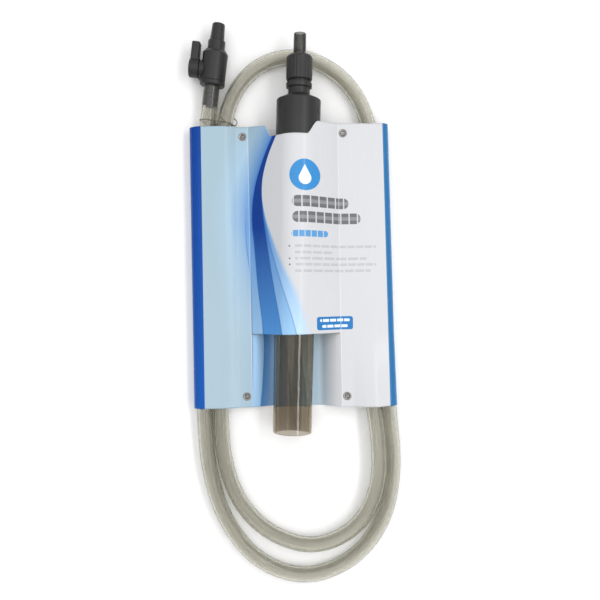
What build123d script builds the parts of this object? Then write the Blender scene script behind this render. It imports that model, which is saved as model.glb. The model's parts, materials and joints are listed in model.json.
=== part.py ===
"""Gravel vacuum siphon in its plastic sleeve, with a long hose and a ball tap.

The set lies on its back: +X across the sleeve, +Y towards the siphon's head, +Z up.
The origin is on the plane that the sleeve rests on, midway between its four eyelets.
All sizes are in millimetres.
"""
from build123d import *
from math import asin, atan2, cos, hypot, pi, radians, sin, tan
import os

# Sleeve: a rear card with two raised seams, and a shaped front sheet riveted to them by four eyelets
SLEEVE_TOP = 145.5
SLEEVE_BOTTOM = -146.5
SLEEVE_LEFT = -107.0
SLEEVE_RIGHT_TOP = 99.5
SLEEVE_RIGHT_BOTTOM = 104.2
CARD_THICKNESS = 0.8
SHEET_THICKNESS = 0.45
SLIT_Y = -70.0
WALL_MIDDLE_Z = 8.8
LEFT_SEAM_Z = 11.2
RIGHT_SEAM_Z = 19.8
LEFT_SEAM = (-57.5, -46.8)
RIGHT_SEAM = (47.0, 57.5)
EYELET_SPACING_X = 104.0
EYELET_SPACING_Y = 270.6
EYELET_HOLE_R = 2.0
EYELET_BARREL_R = 2.4
EYELET_FLANGE_R = 4.3
EYELET_ROLL_R = 3.8
EYELET_ROLL_HEIGHT = 0.3
EYELET_FLANGE_HEIGHT = 0.4

# Siphon: every station below is measured along its axis from the open mouth
MOUTH_CENTRE = (-5.3, -171.0, 21.2)
SIPHON_LEAN = 2.12
SIPHON_RISE = 1.32
SIPHON_LENGTH = 406.0
TUBE_LENGTH = 318.0
TUBE_MOUTH_R = 20.0
TUBE_TOP_R = 21.0
TUBE_WALL = 1.6
MOUTH_BORE_LENGTH = 25.0
SKIRT_START = 264.0
SKIRT_R = 22.5
SKIRT_BORE_R = 21.15
SEAL_STATION = 300.0
SEAL_SECTION_R = 0.45
SEAL_R = TUBE_MOUTH_R + (TUBE_TOP_R - TUBE_MOUTH_R) * SEAL_STATION / TUBE_LENGTH + SEAL_SECTION_R
SHOULDER_START = 338.5
SHOULDER_END = 343.7
CHAMBER_R = 20.0
NECK_R = 11.0
NECK_BORE_R = 8.6
NECK_TOP = 372.0
BEAD_R = 13.1
BEAD_START = 350.8
BEAD_END = 356.0
THREAD_R = 10.9
STRAINER_THICKNESS = 2.4
STRAINER_START = TUBE_LENGTH
CHAMBER_START = STRAINER_START + STRAINER_THICKNESS
SEAT_THICKNESS = 4.0
SEAT_END = CHAMBER_START + SEAT_THICKNESS
SEAT_BORE_R = 5.2
CHECK_BALL_R = 7.0
CHECK_BALL_STATION = 329.9
CHECK_BALL_LIFT = 5.0
GASKET_THICKNESS = 1.6
FLANGE_R = 10.6
FLANGE_THICKNESS = 2.8
FLANGE_START = NECK_TOP + GASKET_THICKNESS
FLANGE_END = FLANGE_START + FLANGE_THICKNESS
NOZZLE_R = 6.4
NOZZLE_ROOT_R = 6.0
NOZZLE_BORE_R = 4.6
WASHER_THICKNESS = 0.8
WASHER_START = FLANGE_END + 0.05
WASHER_END = WASHER_START + WASHER_THICKNESS
NUT_R = 13.35
NUT_START = 358.6
NUT_END = 383.3
NUT_BORE_R = 11.25
NUT_RIBS = 24

# Tap: every station below is measured along its axis from the end of the hose
TAP_ORIGIN = (-82.7, 188.5, 12.6)
TAP_LEAN = 7.8
TAP_RISE = 3.0
TAP_LENGTH = 64.0
BARB_LENGTH = 21.0
BARB_CORE_R = 5.3
BARB_RIDGE_R = 6.5
COLLAR_R = 13.0
COLLAR_END = 4.4
BODY_R = 13.0
BODY_END = 36.6
CAVITY_R = 10.4
CAVITY_START = 7.0
INLET_SPIGOT_R = 7.8
WATERWAY_R = 4.0
VALVE_STATION = 16.3
VALVE_BALL_R = 8.5
SEAT_NEAR = 6.3
SEAT_FAR = 9.3
RUNNING_GAP = 0.05
STEM_R = 3.0
STEM_END = 22.6
O_RING_SECTION_R = 0.8
O_RING_R = STEM_R + RUNNING_GAP + O_RING_SECTION_R
SCREW_SHANK_R = 1.4
SCREW_HEAD_R = 3.3
SCREW_HEAD_START = 23.6
BOSS_R = 8.6
BOSS_REACH = 14.8
HUB_R = 9.9
HUB_INNER = 15.1
HUB_OUTER = 25.2
LEVER_TIP = 42.6
LEVER_THICKNESS = 8.6
LEVER_WIDTH = 12.0
STEP_R = 8.9
STEP_END = 46.5
OUTLET_ROOT_R = 7.4
OUTLET_TIP_R = 6.4

# Hose: from the tap down the left pocket, round the outer loop, up the right pocket,
# over the top, down the left pocket again, round the inner loop and into the right pocket
HOSE_R = 8.0
HOSE_BORE_R = 6.0
HOSE_ROUTE = [
    (-82.7, 188.5, 12.6),
    (-86.1, 163.6, 11.2),
    (-91.6, 129.0, 8.9),
    (-95.2, 61.0, 8.9),
    (-96.4, -24.0, 8.9),
    (-97.0, -99.0, 8.9),
    (-96.6, -160.0, 9.1),
    (-93.6, -213.0, 8.1),
    (-77.5, -266.0, 8.1),
    (-44.0, -309.5, 8.1),
    (7.0, -327.5, 8.1),
    (58.0, -308.0, 8.1),
    (90.5, -266.0, 8.1),
    (100.8, -212.0, 8.1),
    (96.4, -159.0, 9.1),
    (92.9, -102.0, 8.9),
    (91.0, -30.0, 8.9),
    (88.0, 50.0, 8.9),
    (85.0, 116.0, 9.0),
    (76.5, 163.0, 8.9),
    (52.0, 200.0, 8.3),
    (10.0, 221.5, 8.1),
    (-33.5, 213.5, 8.1),
    (-63.2, 181.0, 8.8),
    (-74.2, 135.0, 9.3),
    (-78.0, 76.0, 8.9),
    (-79.8, 3.0, 8.9),
    (-80.6, -76.0, 8.9),
    (-80.3, -145.0, 9.2),
    (-78.2, -201.0, 8.1),
    (-62.5, -248.0, 8.1),
    (-29.5, -281.5, 8.1),
    (18.0, -296.0, 8.4),
    (64.5, -272.5, 10.5),
    (84.6, -227.0, 15.8),
    (83.8, -180.0, 16.6),
    (78.2, -136.0, 13.8),
    (75.0, -104.0, 10.7),
]

# Wire tie round the two hoses, just above the sleeve
WIRE_R = 0.5
TIE_LEFT = (-87.9, 152.4, 10.5)
TIE_RIGHT = (-70.5, 149.7, 9.17)


def direction(lean, rise):
    """Unit vector near +Y, leaning towards +X and rising towards +Z, in degrees."""
    flat = cos(radians(rise))
    return Vector(sin(radians(lean)) * flat, cos(radians(lean)) * flat, sin(radians(rise)))


def frame_along(origin, lean, rise):
    """Location whose local Z runs along the part's axis and whose local X lies across the sleeve."""
    across = Vector(cos(radians(lean)), -sin(radians(lean)), 0)
    return Location(Plane(origin=origin, x_dir=across, z_dir=direction(lean, rise)))


SIPHON = frame_along(MOUTH_CENTRE, SIPHON_LEAN, SIPHON_RISE)
TAP = frame_along(TAP_ORIGIN, TAP_LEAN, TAP_RISE)


def turned(outline):
    """Solid of revolution about local Z from (radius, station) corners."""
    return revolve(Plane.XZ * make_face(Polyline(*outline, close=True)), Axis.Z)


def ring(outer_r, inner_r, start, end):
    """Plain ring from one station to another."""
    return turned([(inner_r, start), (outer_r, start), (outer_r, end), (inner_r, end)])


def rod(radius, start, end):
    """Plain cylinder from one station to another."""
    return Pos(0, 0, start) * Cylinder(radius, end - start, align=(Align.CENTER, Align.CENTER, Align.MIN))


STEM_FRAME = Pos(0, 0, VALVE_STATION) * Rot(0, -90, 0)


def cross_rod(radius, start, end):
    """Cylinder on the stem's axis, between two distances from the flow's axis."""
    return STEM_FRAME * rod(radius, start, end)


# ---- Sleeve ----

def siphon_centre(y):
    """X and Z of the siphon's axis where it passes a given Y."""
    travel = y - MOUTH_CENTRE[1]
    axis = direction(SIPHON_LEAN, SIPHON_RISE)
    return MOUTH_CENTRE[0] + travel * axis.X / axis.Y, MOUTH_CENTRE[2] + travel * axis.Z / axis.Y


def arch(y, radius, left_foot, right_foot, steps=12):
    """Points over the siphon: tangent from each foot, with an arc between the two tangents."""
    centre_x, centre_z = siphon_centre(y)
    angles = []
    for (foot_x, foot_z), side in ((left_foot, 1), (right_foot, -1)):
        run = abs(centre_x - foot_x)
        drop = centre_z - foot_z
        slope = atan2(drop, run) + asin(radius / hypot(run, drop))
        angles.append(pi / 2 + side * slope)
    sweep_angle = (angles[1] - angles[0]) / steps
    turns = [angles[0] + k * sweep_angle for k in range(steps + 1)]
    return [(centre_x + radius * cos(a), centre_z + radius * sin(a)) for a in turns]


def side_wall(edge_x, fold_x, fold_z, steps=5):
    """Points of a side wall: straight up from the card, then a quarter ellipse to the fold."""
    points = [(edge_x, CARD_THICKNESS)]
    for k in range(steps + 1):
        a = k * pi / 2 / steps
        x = fold_x + (edge_x - fold_x) * cos(a)
        z = WALL_MIDDLE_Z + (fold_z - WALL_MIDDLE_Z) * sin(a)
        points.append((x, z))
    return points


def thickened(points, thickness):
    """Closed outline of a sheet whose inner side follows the points."""
    outer = []
    for k, (x, z) in enumerate(points):
        before = points[max(k - 1, 0)]
        after = points[min(k + 1, len(points) - 1)]
        first = Vector(x - before[0], z - before[1]) if k > 0 else Vector(after[0] - x, after[1] - z)
        second = Vector(after[0] - x, after[1] - z) if k < len(points) - 1 else first
        normal = first.normalized() + second.normalized()
        normal = Vector(-normal.Y, normal.X).normalized()
        reach = thickness / cos(radians(first.get_angle(second)) / 2)
        outer.append((x + normal.X * reach, z + normal.Y * reach))
    return points + outer[::-1]


def sheet_section(y, points, thickness=SHEET_THICKNESS):
    """Cross-section of a bent sheet at one Y."""
    plane = Plane(origin=(0, y, 0), x_dir=(1, 0, 0), z_dir=(0, -1, 0))
    return plane * make_face(Polyline(*thickened(points, thickness), close=True))


def left_pocket(fold_x, crown_x, crown_z):
    """Left side of the sheet: wall, crown over the hoses and a slope to the riveted seam."""
    seam = (LEFT_SEAM[0], LEFT_SEAM_Z)
    middle = ((crown_x + seam[0]) / 2, (crown_z + seam[1]) / 2 + 0.6)
    return side_wall(SLEEVE_LEFT, fold_x, crown_z) + [(crown_x, crown_z), middle, seam]


def right_pocket(edge_x, fold_x, fold_z, crown, shoulder):
    """Right side of the sheet, from the riveted seam to the wall."""
    seam = (RIGHT_SEAM[1] + 0.7, RIGHT_SEAM_Z)
    return [seam, shoulder, crown] + side_wall(edge_x, fold_x, fold_z)[::-1]


def make_front_sleeve():
    """Front sheet: the upper part arches over the siphon, the lower part passes behind it."""
    top_left = left_pocket(-94.6, -71.0, 18.4)
    slit_left = left_pocket(-95.0, -76.0, 17.7)
    bottom_left = left_pocket(-95.2, -77.0, 17.7)
    top_right = right_pocket(SLEEVE_RIGHT_TOP, 93.3, 17.7, (77.0, 18.4), (68.0, 19.3))
    slit_right = right_pocket(102.2, 95.2, 17.8, (78.0, 19.5), (68.0, 19.8))
    bottom_right = right_pocket(SLEEVE_RIGHT_BOTTOM, 96.5, 18.2, (82.0, 25.4), (72.0, 23.6))
    left_foot = (LEFT_SEAM[1] + 0.4, LEFT_SEAM_Z)
    right_foot = (RIGHT_SEAM[0] - 0.4, RIGHT_SEAM_Z)
    over = []
    for y, radius, left, right in ((SLIT_Y, 21.7, slit_left, slit_right),
                                   (SLEEVE_TOP, 23.2, top_left, top_right)):
        middle = [left_foot] + arch(y, radius, left_foot, right_foot) + [right_foot]
        over.append(sheet_section(y, left + middle + right))
    valley = [(-27.0, CARD_THICKNESS), (27.0, CARD_THICKNESS)]
    bottom_middle = [left_foot, (-41.0, 8.6), (-31.0, 2.9)] + valley + [(31.0, 4.9), (41.0, 14.6), right_foot]
    slit_middle = [left_foot, (-41.0, 10.6), (-31.0, 3.4)] + valley + [(31.0, 5.4), (41.0, 15.6), right_foot]
    under = [
        sheet_section(SLEEVE_BOTTOM, bottom_left + bottom_middle + bottom_right),
        sheet_section(SLIT_Y, slit_left + slit_middle + slit_right),
    ]
    sheet = loft(over, ruled=True) + loft(under, ruled=True)
    notch = Polyline((-29.5, 150), (-21.5, 129.5), (15.5, 128.5), (27.0, 150), close=True)
    sheet -= Pos(0, 0, 12) * extrude(make_face(notch), 50)
    for spot in eyelet_spots():
        sheet -= spot * rod(EYELET_BARREL_R, 0, 10)
    return sheet


def eyelet_spots():
    """The four eyelet centres, on the underside of the card's seams."""
    half_x = EYELET_SPACING_X / 2
    half_y = EYELET_SPACING_Y / 2
    seams = ((-half_x, LEFT_SEAM_Z), (half_x, RIGHT_SEAM_Z))
    return [Pos(x, y, z - CARD_THICKNESS) for x, z in seams for y in (-half_y, half_y)]


def make_back_card():
    """Rear card: three flat strips and two raised seams, with a hole and a shallow seat for each eyelet."""
    sections = []
    for y, edge_x in ((SLEEVE_BOTTOM, SLEEVE_RIGHT_BOTTOM), (SLEEVE_TOP, SLEEVE_RIGHT_TOP)):
        left_z = LEFT_SEAM_Z - CARD_THICKNESS
        right_z = RIGHT_SEAM_Z - CARD_THICKNESS
        left = [(SLEEVE_LEFT, 0), (-68.0, 0), (LEFT_SEAM[0], left_z), (LEFT_SEAM[1], left_z), (-29.0, 0)]
        right = [(29.0, 0), (RIGHT_SEAM[0], right_z), (RIGHT_SEAM[1], right_z), (65.5, 0), (edge_x, 0)]
        sections.append(sheet_section(y, left + right, CARD_THICKNESS))
    card = loft(sections, ruled=True)
    for spot in eyelet_spots():
        card -= spot * rod(EYELET_BARREL_R, -1, 2)
        card -= spot * rod(EYELET_ROLL_R, -1, EYELET_ROLL_HEIGHT)
    return card


def make_eyelets():
    """Four rolled metal eyelets, each gripping the card and the sheet."""
    grip = CARD_THICKNESS + SHEET_THICKNESS
    top = grip + EYELET_FLANGE_HEIGHT
    profile = [
        (EYELET_HOLE_R, 0), (EYELET_ROLL_R, 0), (EYELET_ROLL_R, EYELET_ROLL_HEIGHT),
        (EYELET_BARREL_R, EYELET_ROLL_HEIGHT), (EYELET_BARREL_R, grip), (EYELET_FLANGE_R, grip),
        (EYELET_FLANGE_R - 0.3, top), (EYELET_HOLE_R + 0.4, top), (EYELET_HOLE_R, grip),
    ]
    return Compound([spot * turned(profile) for spot in eyelet_spots()])


# ---- Siphon ----

def make_siphon_tube():
    """Tapered tube with an eased rim at its open mouth."""
    ease = 0.4
    bore_r = TUBE_MOUTH_R - TUBE_WALL
    return turned([
        (bore_r, 0), (TUBE_MOUTH_R - ease, 0), (TUBE_MOUTH_R, ease), (TUBE_TOP_R, TUBE_LENGTH),
        (TUBE_TOP_R - TUBE_WALL, TUBE_LENGTH), (bore_r, MOUTH_BORE_LENGTH),
    ])


def make_tube_seal():
    """O-ring between the tube and the head's skirt."""
    return Pos(0, 0, SEAL_STATION) * Torus(SEAL_R, SEAL_SECTION_R)


def make_head_connector():
    """Head: skirt over the tube, shoulder, neck with a bead, and a threaded spigot."""
    outer = [
        (SKIRT_R - 0.4, SKIRT_START), (SKIRT_R, SKIRT_START + 0.4), (SKIRT_R, SHOULDER_START - 0.8),
        (SKIRT_R - 0.8, SHOULDER_START), (NECK_R + 0.6, SHOULDER_END), (NECK_R, SHOULDER_END + 0.8),
        (NECK_R, BEAD_START), (BEAD_R - 0.8, BEAD_START), (BEAD_R, BEAD_START + 0.8),
        (BEAD_R, BEAD_END - 0.8), (BEAD_R - 0.8, BEAD_END), (THREAD_R, BEAD_END), (THREAD_R, NECK_TOP),
    ]
    inner = [
        (NECK_BORE_R, NECK_TOP), (NECK_BORE_R, SHOULDER_START + 3.0), (CHAMBER_R, SHOULDER_START - 3.0),
        (CHAMBER_R, CHAMBER_START), (SKIRT_BORE_R, CHAMBER_START), (SKIRT_BORE_R, SKIRT_START),
    ]
    groove_r = SEAL_R + SEAL_SECTION_R
    groove = ring(groove_r, SKIRT_BORE_R - 0.5, SEAL_STATION - 0.6, SEAL_STATION + 0.6)
    return turned(outer + inner) - groove


def make_strainer():
    """Disc with rings of holes that keeps gravel out of the valve."""
    disc = rod(SKIRT_BORE_R - 0.05, STRAINER_START, CHAMBER_START)
    for ring_r, count in ((4.5, 6), (9.5, 12), (14.5, 18)):
        for k in range(count):
            disc -= Rot(0, 0, 360 * k / count) * Pos(ring_r, 0, 0) * rod(1.5, STRAINER_START - 1, SEAT_END)
    return disc


def make_valve_seat():
    """Disc with a central port and a chamfered edge where the check ball sits."""
    chamfer = 1.2
    return turned([
        (SEAT_BORE_R, CHAMBER_START), (CHAMBER_R, CHAMBER_START), (CHAMBER_R, SEAT_END),
        (SEAT_BORE_R + chamfer, SEAT_END), (SEAT_BORE_R, SEAT_END - chamfer),
    ])


def make_ball_cage():
    """Foot ring, four posts and a stop ring that let the check ball lift."""
    post_inner = CHECK_BALL_R + 0.4
    post_outer = NECK_BORE_R - 0.1
    stop = CHECK_BALL_STATION + CHECK_BALL_LIFT + CHECK_BALL_R + 0.4
    cage = ring(post_outer + 4.0, post_inner, SEAT_END, SEAT_END + 1.5)
    shell = ring(post_outer, post_inner, SEAT_END, stop + 1.8)
    for k in range(4):
        cage += shell & (Rot(0, 0, 90 * k) * Pos(post_outer, 0, stop) * Box(6, 3, 60))
    return cage + ring(post_outer, 3.5, stop, stop + 1.8)


def make_check_ball():
    """Ball of the self-priming check valve."""
    return Pos(0, 0, CHECK_BALL_STATION) * Sphere(CHECK_BALL_R)


def make_union_gasket():
    """Flat ring between the spigot and the hose tail's flange."""
    return ring(FLANGE_R, NECK_BORE_R, NECK_TOP, FLANGE_START)


def make_hose_tail():
    """Smoke-tinted nozzle with the flange that the union nut clamps and a slimmer root inside the nut."""
    root_end = NUT_END + 0.2
    return turned([
        (NOZZLE_BORE_R, FLANGE_START), (FLANGE_R, FLANGE_START), (FLANGE_R, FLANGE_END),
        (NOZZLE_ROOT_R, FLANGE_END), (NOZZLE_ROOT_R, root_end), (NOZZLE_R, root_end),
        (NOZZLE_R, SIPHON_LENGTH - 0.8), (NOZZLE_R - 0.8, SIPHON_LENGTH), (NOZZLE_BORE_R, SIPHON_LENGTH),
    ])


def make_thrust_washer():
    """Thin ring on which the nut turns."""
    return ring(FLANGE_R, NOZZLE_R + 0.35, WASHER_START, WASHER_END)


def make_union_nut():
    """Nut with fine ribs round its grip and a clear bore over the nozzle."""
    shoulder = WASHER_END + 0.05
    nut = turned([
        (NUT_BORE_R, NUT_START), (NUT_R - 0.5, NUT_START), (NUT_R - 0.2, NUT_START + 0.6),
        (NUT_R, NUT_END - 9.0), (NUT_R, NUT_END - 1.8), (NUT_R - 1.6, NUT_END),
        (NOZZLE_R + 0.35, NUT_END), (NOZZLE_R + 0.35, shoulder), (NUT_BORE_R, shoulder),
    ])
    for k in range(NUT_RIBS):
        flute = Pos(NUT_R + 0.45, 0, 0) * rod(0.8, NUT_START - 1, NUT_END - 4.5)
        nut -= Rot(0, 0, 360 * k / NUT_RIBS) * flute
    return nut


# ---- Tap ----

def make_tap_inlet():
    """Collar with a spigot into the body and a ridged tail inside the hose."""
    ridges = []
    for k in range(3):
        tip = -BARB_LENGTH + 3.0 + 5.5 * k
        ridges += [(BARB_CORE_R, tip - 2.6), (BARB_RIDGE_R, tip), (BARB_CORE_R, tip)]
    return turned(
        [(WATERWAY_R, -BARB_LENGTH), (BARB_CORE_R, -BARB_LENGTH)] + ridges + [
            (BARB_CORE_R, 0), (COLLAR_R - 0.8, 0), (COLLAR_R, 0.8), (COLLAR_R, COLLAR_END),
            (INLET_SPIGOT_R, COLLAR_END), (INLET_SPIGOT_R, CAVITY_START), (WATERWAY_R, CAVITY_START),
        ])


def make_tap_body():
    """Barrel with the ball's cavity and a side boss for the stem."""
    body = turned([
        (0, COLLAR_END), (BODY_R - 0.6, COLLAR_END), (BODY_R - 0.2, COLLAR_END + 1.0),
        (BODY_R, BODY_END - 3.5), (BODY_R - 3.0, BODY_END), (0, BODY_END),
    ])
    body += cross_rod(BOSS_R, 0, BOSS_REACH)
    body += Pos(-BODY_R + 1.5, 0, COLLAR_END + 4.0) * Box(6.0, 9.0, 7.0)
    body -= rod(INLET_SPIGOT_R, COLLAR_END - 1, CAVITY_START + 1)
    body -= rod(CAVITY_R, CAVITY_START, BODY_END + 1)
    body -= cross_rod(STEM_R + RUNNING_GAP, VALVE_BALL_R, BOSS_REACH + 1)
    return body - cross_rod(O_RING_R + O_RING_SECTION_R, BOSS_REACH - 2.0, BOSS_REACH + 1)


def make_stem_o_ring():
    """O-ring round the stem, in the boss's mouth."""
    return STEM_FRAME * Pos(0, 0, BOSS_REACH - 2.0 + O_RING_SECTION_R) * Torus(O_RING_R, O_RING_SECTION_R)


def valve_ball_blank(radius):
    """Ball at the valve's station."""
    return Pos(0, 0, VALVE_STATION) * Sphere(radius)


def make_tap_ball_seats():
    """Two seat rings, one on each side of the ball."""
    seats = []
    for start in (VALVE_STATION - SEAT_FAR, VALVE_STATION + SEAT_NEAR):
        seat = ring(CAVITY_R - 0.1, WATERWAY_R + 0.6, start, start + SEAT_FAR - SEAT_NEAR)
        seats.append(seat - valve_ball_blank(VALVE_BALL_R + RUNNING_GAP))
    return Compound(seats)


def make_tap_ball():
    """Bored ball with a slot for the stem's tongue."""
    ball = valve_ball_blank(VALVE_BALL_R) - rod(WATERWAY_R + 0.5, 0, BODY_END)
    return ball - tongue()


def tongue():
    """Flat tongue that turns the ball."""
    return Pos(-VALVE_BALL_R + 1.0, 0, VALVE_STATION) * Box(2.4, 2.4, 6.0)


def make_tap_stem():
    """Stem from the ball's slot to the lever's hub."""
    shaft = cross_rod(STEM_R, VALVE_BALL_R + 0.2, STEM_END) + tongue()
    return shaft - cross_rod(SCREW_SHANK_R, BOSS_REACH, STEM_END)


def make_tap_lever():
    """Hub on the stem with a straight handle lying along the flow."""
    hub = cross_rod(HUB_R, HUB_INNER, HUB_OUTER)
    hub = fillet(hub.faces().sort_by(Axis.X)[0].edges(), 1.2)
    middle_x = -(HUB_OUTER - 0.4 + HUB_OUTER - 0.4 - LEVER_THICKNESS) / 2
    handle_length = LEVER_TIP - VALVE_STATION
    handle = Pos(middle_x, 0, VALVE_STATION + handle_length / 2) * Box(
        LEVER_THICKNESS, LEVER_WIDTH, handle_length)
    handle = fillet(handle.edges().filter_by(Axis.Z), 2.0)
    handle = fillet(handle.faces().sort_by(Axis.Z)[-1].edges(), 1.2)
    lever = hub + handle
    lever -= cross_rod(STEM_R, HUB_INNER - 1, STEM_END)
    lever -= cross_rod(SCREW_SHANK_R, HUB_INNER, HUB_OUTER)
    return lever - cross_rod(SCREW_HEAD_R, SCREW_HEAD_START, HUB_OUTER + 1)


def make_lever_screw():
    """Cross-slotted screw that holds the lever on the stem."""
    head_end = HUB_OUTER - 0.4
    screw = cross_rod(SCREW_SHANK_R, BOSS_REACH + 1.0, SCREW_HEAD_START)
    screw += cross_rod(SCREW_HEAD_R, SCREW_HEAD_START, head_end)
    for turn in (0, 90):
        slot = Rot(turn, 0, 0) * Box(1.2, 0.7, 3.6)
        screw -= Pos(-head_end, 0, VALVE_STATION) * slot
    return screw


def make_tap_outlet():
    """Plug that closes the cavity, with a stepped nozzle."""
    plug_start = VALVE_STATION + SEAT_FAR
    return turned([
        (WATERWAY_R, plug_start), (CAVITY_R, plug_start), (CAVITY_R, BODY_END), (STEP_R, BODY_END),
        (STEP_R, STEP_END - 0.8), (STEP_R - 0.8, STEP_END), (OUTLET_ROOT_R, STEP_END),
        (OUTLET_TIP_R, TAP_LENGTH - 1.6), (OUTLET_TIP_R - 1.4, TAP_LENGTH), (WATERWAY_R, TAP_LENGTH),
    ])


# ---- Hose and tie ----

def hose_corner_radii():
    """Arc radius at each corner: 0.45 of the shorter run over the tangent of half the turn."""
    points = [Vector(*p) for p in HOSE_ROUTE]
    radii = []
    for before, corner, after in zip(points, points[1:], points[2:]):
        run_in = corner - before
        run_out = after - corner
        half_turn = radians(run_in.get_angle(run_out)) / 2
        radii.append(0.45 * min(run_in.length, run_out.length) / tan(half_turn))
    return radii


def make_hose():
    """Hose: one tube along straight runs joined by tangent arcs."""
    radii = hose_corner_radii()
    path = FilletPolyline(*[Vector(*p) for p in HOSE_ROUTE], radius=radii)
    start = Plane(origin=path @ 0, z_dir=path % 0)
    hose = sweep(start * (Circle(HOSE_R) - Circle(HOSE_BORE_R)), path=path)
    expected = pi * (HOSE_R ** 2 - HOSE_BORE_R ** 2) * path.length
    print("hose length", round(path.length, 1), "volume ratio", round(hose.volume / expected, 5))
    print("hose radii", [round(r) for r in radii])
    return hose


def wire(points, radius):
    """Round wire along straight runs with rounded corners."""
    path = FilletPolyline(*points, radius=radius)
    return sweep(Plane(origin=path @ 0, z_dir=path % 0) * Circle(WIRE_R), path=path)


def make_wire_tie():
    """Loop round both hoses, with one hooked end and one short end."""
    left = Vector(*TIE_LEFT)
    right = Vector(*TIE_RIGHT)
    across = right - left
    plane = Plane(origin=(left + right) / 2, x_dir=across, z_dir=across.cross(Vector(0, 0, 1)))
    loop_r = HOSE_R + WIRE_R + 0.12
    half = across.length / 2
    straight = Pos(-half, 0, 0) * Rot(0, 90, 0) * rod(WIRE_R, 0, 2 * half)
    bend = Rot(0, 0, -90) * revolve(Plane.XZ * Pos(loop_r, 0) * Circle(WIRE_R), Axis.Z, 180)
    loop = Pos(0, loop_r, 0) * straight + Pos(0, -loop_r, 0) * straight
    loop += Pos(half, 0, 0) * bend + Pos(-half, 0, 0) * Rot(0, 0, 180) * bend
    tie = plane.location * loop
    hook = wire([(-61.8, 148.5, 9.6), (-60.0, 146.6, 12.0), (-57.2, 150.3, 12.4), (-60.4, 154.6, 12.2)], 1.6)
    stub = wire([(-68.6, 149.5, 17.9), (-70.6, 151.6, 18.6), (-75.0, 155.8, 18.4)], 1.2)
    return tie + hook + stub


MAKERS = {
    "front_sleeve": (make_front_sleeve, None),
    "back_card": (make_back_card, None),
    "eyelets": (make_eyelets, None),
    "siphon_tube": (make_siphon_tube, SIPHON),
    "tube_seal": (make_tube_seal, SIPHON),
    "head_connector": (make_head_connector, SIPHON),
    "strainer": (make_strainer, SIPHON),
    "valve_seat": (make_valve_seat, SIPHON),
    "ball_cage": (make_ball_cage, SIPHON),
    "check_ball": (make_check_ball, SIPHON),
    "union_gasket": (make_union_gasket, SIPHON),
    "hose_tail": (make_hose_tail, SIPHON),
    "thrust_washer": (make_thrust_washer, SIPHON),
    "union_nut": (make_union_nut, SIPHON),
    "tap_inlet": (make_tap_inlet, TAP),
    "tap_body": (make_tap_body, TAP),
    "tap_ball_seats": (make_tap_ball_seats, TAP),
    "tap_ball": (make_tap_ball, TAP),
    "tap_stem": (make_tap_stem, TAP),
    "stem_o_ring": (make_stem_o_ring, TAP),
    "tap_lever": (make_tap_lever, TAP),
    "lever_screw": (make_lever_screw, TAP),
    "tap_outlet": (make_tap_outlet, TAP),
    "hose": (make_hose, None),
    "wire_tie": (make_wire_tie, None),
}

os.makedirs("parts", exist_ok=True)
for node, (maker, place) in MAKERS.items():
    shape = maker()
    if place is not None:
        shape = place * shape
    export_step(shape, f"parts/{node}.step")
    print(node, "done")
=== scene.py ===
"""Gravel vacuum siphon in its printed sleeve: the visual model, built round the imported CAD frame.

The frame's axes are +X across the sleeve, +Y towards the siphon's head and +Z up.
Sizes are in millimetres, and each mesh is brought to metres as it is made.
"""
import json
from math import asin, atan2, cos, exp, hypot, pi, radians, sin, tau

import bmesh
import bpy
from mathutils import Matrix, Vector


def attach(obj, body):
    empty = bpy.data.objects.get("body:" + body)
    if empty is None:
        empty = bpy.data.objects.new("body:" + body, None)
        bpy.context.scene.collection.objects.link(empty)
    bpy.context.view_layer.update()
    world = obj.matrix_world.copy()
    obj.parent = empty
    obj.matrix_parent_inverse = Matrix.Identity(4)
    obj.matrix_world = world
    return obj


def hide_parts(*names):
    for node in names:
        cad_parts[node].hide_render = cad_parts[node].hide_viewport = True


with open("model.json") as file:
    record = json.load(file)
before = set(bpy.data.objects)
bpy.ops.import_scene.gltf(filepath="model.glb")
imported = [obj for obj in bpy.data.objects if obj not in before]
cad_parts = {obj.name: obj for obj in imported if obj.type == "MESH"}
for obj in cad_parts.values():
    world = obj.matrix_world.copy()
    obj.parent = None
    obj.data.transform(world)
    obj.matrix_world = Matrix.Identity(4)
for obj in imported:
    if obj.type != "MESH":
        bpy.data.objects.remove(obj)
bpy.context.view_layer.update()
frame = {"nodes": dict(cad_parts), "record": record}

MM = 0.001
RECORD = frame["record"]
MOUNTS = {mount["name"]: mount for mount in RECORD["mounts"]}

# Camera: straight above the set, turned a little about its own axis
CAMERA_PLACE = Vector((4.985, -35.592, 725.0)) * MM
CAMERA_ROLL = radians(-1.0)
CAMERA_LENS = 41.07
SENSOR_WIDTH = 36.0

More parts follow.
